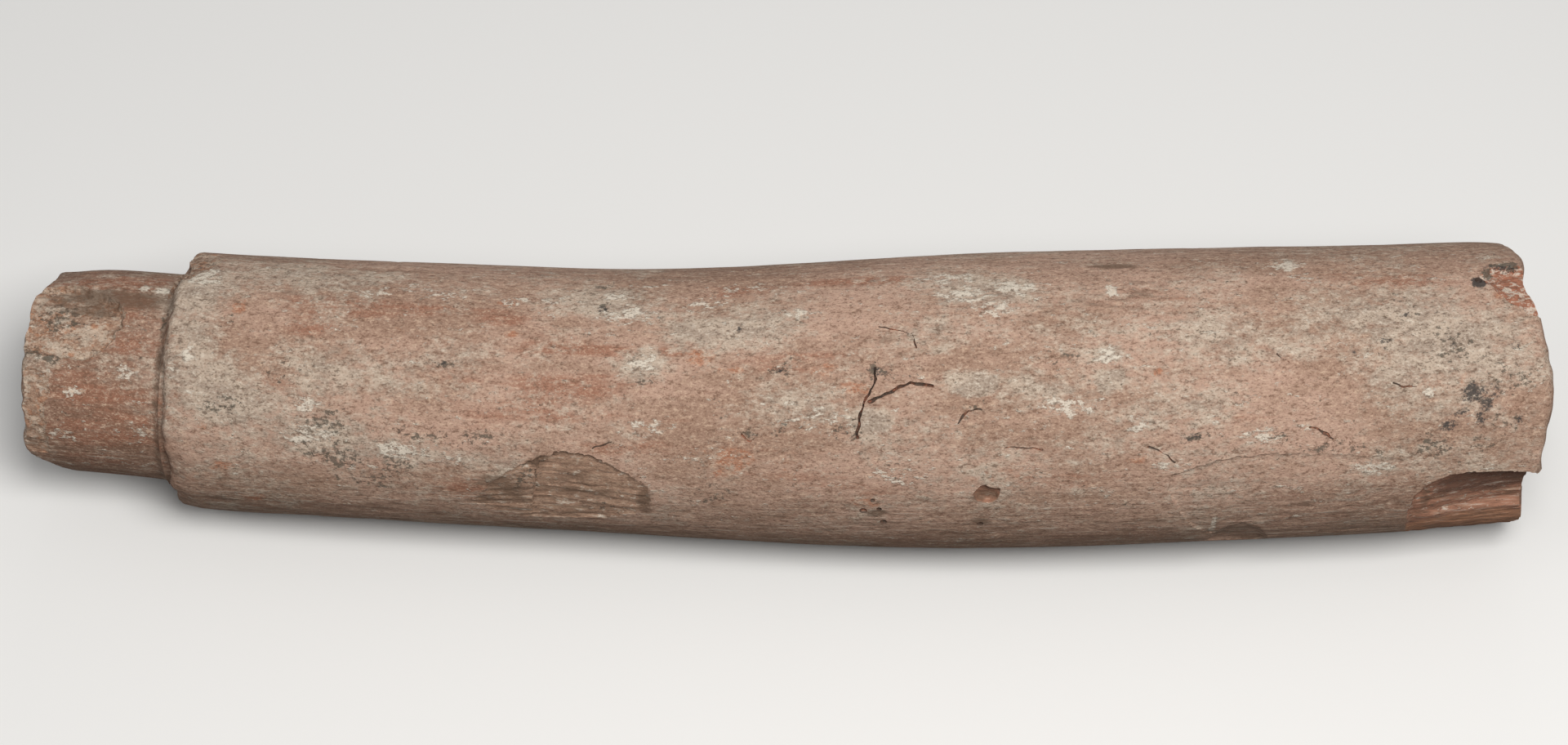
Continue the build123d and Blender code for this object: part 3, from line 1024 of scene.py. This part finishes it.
cloud = grain(48, 2.0, 6, 0.62, 1.0)
drawn = grain(7, 9, 4, 0.6, 2.0)
mottle = grain(8, 1.8, 5, 0.68, 15.0)
red_noise = grain(18, 3, 4, 0.6, 3.0)
rust_noise = grain(4, 1.6, 4, 0.7, 4.0)
tone = sum_of((cloud, 1.0), (drawn, 0.35), (mottle, 0.3))
body = coat(
    CLAY_BROWN,
    (CLAY_PINK, mask(tone, 0.7, 0.95)),
    # Umber, with painted shade along the top.
    (CLAY_UMBER_AND_SHADE, blotches("umber_and_shade", 0.45, (0.6, 0.95, 0.85), (drawn, 0.6), (mottle, 0.4))),
    (CLAY_RED, blotches("red", 0.34, (0.8, 1.04, 0.85), (drawn, 0.8), (red_noise, 0.6))),
    (CLAY_RUST, blotches("rust", 0.42, (0.72, 0.96, 0.75), (rust_noise, 1.0))),
)
print(len(nodes), "nodes for the clay")

# %% Lime film and flecks
LIME_FILM = paint(194, 175, 155)
LIME_GREY = paint(167, 149, 132)
LIME_WHITE = paint(222, 210, 192)

crumbs = grain(2.8, 1.7, 4, 0.7, 5.0)
film_cloud = grain(30, 1.6, 6, 0.65, 6.0)
film_mask = blotches("lime", 0.36, (1.16, 1.53, 0.88), (film_cloud, 1.0), (crumbs, 0.9), (mottle, 0.5))
film = cover(LIME_GREY, LIME_FILM, mask(mottle, 0.42, 0.56))
fleck_noise = grain(2.4, 1.9, 4, 0.7, 7.0)
fleck_mask = blotches("flecks", 0.17, (0.82, 0.91, 0.9), (fleck_noise, 1.0), (mottle, 0.4))
body = coat(body, (film, film_mask), (LIME_WHITE, fleck_mask))
print(len(nodes), "with the lime")

# %% Broken clay
BREAK_BROWN = paint(164, 131, 109)
BREAK_RED = paint(164, 118, 95)
BREAK_FRESH = paint(164, 110, 86)
# The ledge colour is partly painted light: brighter than the ledge's own orange clay, standing in for the
# light that falls on it.
BREAK_LEDGE_PAINTED_LIGHT = paint(206, 150, 116)
BREAK_DARK = paint(74, 58, 48)
BREAK_PALE = paint(178, 152, 128)
# The darkest broken colour is painted shade, for the scallop under its upper edge and for the small cavity.
BREAK_PAINTED_SHADE = paint(88, 62, 50)
BREAK_ORANGE = paint(176, 122, 90)

broken = attribute("broken")
layers = grain(1.7, 14, 4, 0.65, 9.0)
fresh = mask(broken, 0.9, 1.0)
weathered = mask(broken, 0.4, 0.3)
crumb_total = sum_of((crumbs, 1.0), (fleck_noise, 0.5), (fresh, 0.09))
dark_noise = grain(3.0, 1.5, 4, 0.7, 16.0)
orange_noise = grain(6, 1.5, 4, 0.6, 19.0)
patch_noise = grain(4.5, 1.3, 5, 0.7, 18.0)
torn = coat(
    BREAK_BROWN,
    (BREAK_RED, mask(broken, 0.5, 0.7)),
    (BREAK_FRESH, mask(broken, 0.8, 1.0)),
    (BREAK_PALE, mask(layers, 0.52, 0.7, 0.5)),
    (BREAK_DARK, mask(layers, 0.47, 0.33, 0.55)),
    (LIME_WHITE, mask(crumb_total, 0.82, 0.94, 0.7)),
    (BREAK_DARK, mask(dark_noise, 0.6, 0.72, 0.6)),
    (BREAK_ORANGE, product(weathered, mask(orange_noise, 0.5, 0.6, 0.65))),
    (LIME_FILM, product(weathered, mask(patch_noise, 0.47, 0.57, 0.8))),
    (BREAK_PAINTED_SHADE, blotches("painted_shade", 0.6, (0.7, 1.15, 0.85), (layers, 0.5), (mottle, 0.5))),
    (BREAK_LEDGE_PAINTED_LIGHT, blotches("ledge", 0.7, (0.75, 1.05, 0.85), (layers, 0.5), (mottle, 0.5))),
)
body = cover(body, torn, mask(broken, 0.1, 0.14))
print(len(nodes), "with the broken clay")

# %% Grit, specks, soot, earth and painted shade
SPECK = paint(88, 82, 70)
GRIT_PALE = paint(212, 182, 156)
GRIT_DARK = paint(116, 86, 67)
SOOT = paint(62, 58, 55)
EARTH_AND_SHADE = paint(104, 82, 65)
INSIDE = paint(132, 106, 88)

salt = grain(2.0, 1.7, 4, 0.78, 10.0)
fine = grain(0.8, 1.5, 2, 0.6, 17.0)
drag = grain(1.5, 14, 4, 0.65, 11.0)
sound = mask(broken, 0.9, 0.1)
pale_grit = cover(GRIT_PALE, LIME_WHITE, film_mask)
dark_grit = cover(GRIT_DARK, SPECK, product(film_mask, 0.6))
speck_noise = grain(2.6, 1.3, 5, 0.75, 12.0)
speck_mask = blotches("specks", 0.15, (0.79, 0.88, 0.8), (speck_noise, 1.0), (mottle, 0.3))
soot_noise = grain(1.9, 1.3, 6, 0.85, 13.0)
soot_mask = blotches("black", 0.36, (1.14, 1.36, 0.92), (soot_noise, 1.9))
earth_noise = grain(5, 4, 5, 0.7, 14.0)
dragged = attribute("drag")
body = coat(
    body,
    (pale_grit, product(sound, mask(salt, 0.53, 0.67, 0.65))),
    (dark_grit, product(sound, mask(salt, 0.48, 0.35, 0.75))),
    (pale_grit, product(sound, mask(fine, 0.55, 0.72, 0.5))),
    (dark_grit, product(sound, mask(fine, 0.46, 0.3, 0.6))),
    (SPECK, speck_mask),
    (SOOT, soot_mask),
    (LIME_WHITE, product(dragged, mask(drag, 0.54, 0.72, 0.5))),
    (EARTH_AND_SHADE, product(dragged, mask(drag, 0.48, 0.32, 0.7))),
    # Earth, with painted shade at the side scar's edges.
    (EARTH_AND_SHADE, blotches("earth_and_shade", 0.5, (0.95, 1.35, 0.75), (earth_noise, 1.6))),
    (INSIDE, product(attribute("inside"), 0.6)),
    (BREAK_DARK, product(mask(broken, 1.4, 1.6), mask(crumbs, 0.36, 0.52, 0.9))),
)
print(len(nodes), "with the grit and stains")

# %% Relief, roughness and the finished material
relief = sum_of((salt, 0.55), (crumbs, 0.5), (fine, 0.25), (product(drag, dragged), 0.4))
relief = sum_of((relief, 1.0), (drawn, 0.5), (mottle, 0.7), (fleck_mask, 0.3), (speck_mask, -0.3))
bump = nodes.new("ShaderNodeBump")
bump.inputs["Strength"].default_value = 0.9
bump.inputs["Distance"].default_value = 0.9 * MM
links.new(relief, bump.inputs["Height"])
links.new(bump.outputs["Normal"], shader.inputs["Normal"])
links.new(body, shader.inputs["Base Color"])
roughness = sum_of((salt, 0.12), (film_mask, 0.08), (soot_mask, -0.15), offset=0.80)
links.new(roughness, shader.inputs["Roughness"])
shader.inputs["Specular IOR Level"].default_value = 0.3
pipe.data.materials.clear()
pipe.data.materials.append(clay)
print("material with", len(nodes), "nodes")

# %% [markdown]
# ## Floor, light and camera
#
# The pipe lies on a plain pale floor. The floor looks pale to the camera and in reflections, but
# it sends little light back up, so the underside stays deep in shade and the roundness shows. One
# wide soft lamp hangs above and in front. Two weaker ones, at the spigot's side and behind, keep
# the other sides from going black.

# %% Floor
bpy.ops.mesh.primitive_plane_add(size=8, location=(0, 1, 0))
floor = bpy.context.object
floor.name = "floor"
bpy.ops.object.transform_apply(location=True)
pale = bpy.data.materials.new("pale_floor")
pale.use_nodes = True
floor_nodes = pale.node_tree.nodes
floor_links = pale.node_tree.links
floor_shader = floor_nodes["Principled BSDF"]
floor_shader.inputs["Roughness"].default_value = 0.9
floor_shader.inputs["Specular IOR Level"].default_value = 0.1


def either(first, second):
    """On where one of two sockets in the floor's material is on."""
    node = floor_nodes.new("ShaderNodeMath")
    node.operation = "MAXIMUM"
    floor_links.new(first, node.inputs[0])
    floor_links.new(second, node.inputs[1])
    return node.outputs[0]


ray = floor_nodes.new("ShaderNodeLightPath").outputs
seen = either(either(ray["Is Camera Ray"], ray["Is Glossy Ray"]), ray["Is Transmission Ray"])
floor_colour = floor_nodes.new("ShaderNodeMix")
floor_colour.data_type = "RGBA"
floor_colour.inputs[MIX_UNDER].default_value = paint(78, 75, 72)
floor_colour.inputs[MIX_OVER].default_value = paint(242, 240, 236)
floor_links.new(seen, floor_colour.inputs[MIX_AMOUNT])
floor_links.new(floor_colour.outputs[MIX_RESULT], floor_shader.inputs["Base Color"])
floor.data.materials.append(pale)
print("floor", round(floor.dimensions.x, 1), "m wide")

# %% Lamps and sky
def soft_lamp(name, place, target, size, power):
    """A square area lamp that looks at a target."""
    bpy.ops.object.light_add(type="AREA", location=place)
    lamp = bpy.context.object
    lamp.name = name
    lamp.data.size = size
    lamp.data.energy = power
    lamp.rotation_euler = (Vector(target) - Vector(place)).to_track_quat("-Z", "Y").to_euler()
    print(name, power, "W")


soft_lamp("main_lamp", (0.38, -1.0, 1.8), (0.05, 0, 0.06), 0.9, 36.8)
soft_lamp("side_lamp", (-1.6, -0.6, 1.3), (0, 0, 0.06), 0.8, 4)
soft_lamp("back_lamp", (0.1, 1.7, 0.5), (0, 0, 0.06), 0.9, 3.5)

sky = bpy.data.worlds.new("pale_room")
bpy.context.scene.world = sky
sky.use_nodes = True
background = sky.node_tree.nodes["Background"].inputs
background["Color"].default_value = paint(214, 216, 220)
background["Strength"].default_value = 0.29

# %% Camera
CAMERA_PLACE = Vector((0.0154, -1.1626, 1.4629))
CAMERA_TARGET = Vector((0.0005, 0.0094, 0.0660))

bpy.ops.object.camera_add(location=CAMERA_PLACE)
camera = bpy.context.object
camera.name = "camera"
camera.data.lens = 90
camera.data.sensor_width = 36
camera.rotation_euler = (CAMERA_TARGET - CAMERA_PLACE).to_track_quat("-Z", "Y").to_euler()
camera.data.clip_start = 0.05
bpy.context.scene.camera = camera
bpy.context.scene.view_settings.view_transform = "Standard"
print("camera", round((CAMERA_TARGET - CAMERA_PLACE).length, 3), "m from what it looks at")

# %% Hand the pipe to the frame
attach(pipe, "root")
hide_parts("drain_pipe")
floor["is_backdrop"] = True
boxes = {"cad": cad_box, "visual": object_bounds()}
{name: [list(corner) for corner in box] for name, box in boxes.items()}
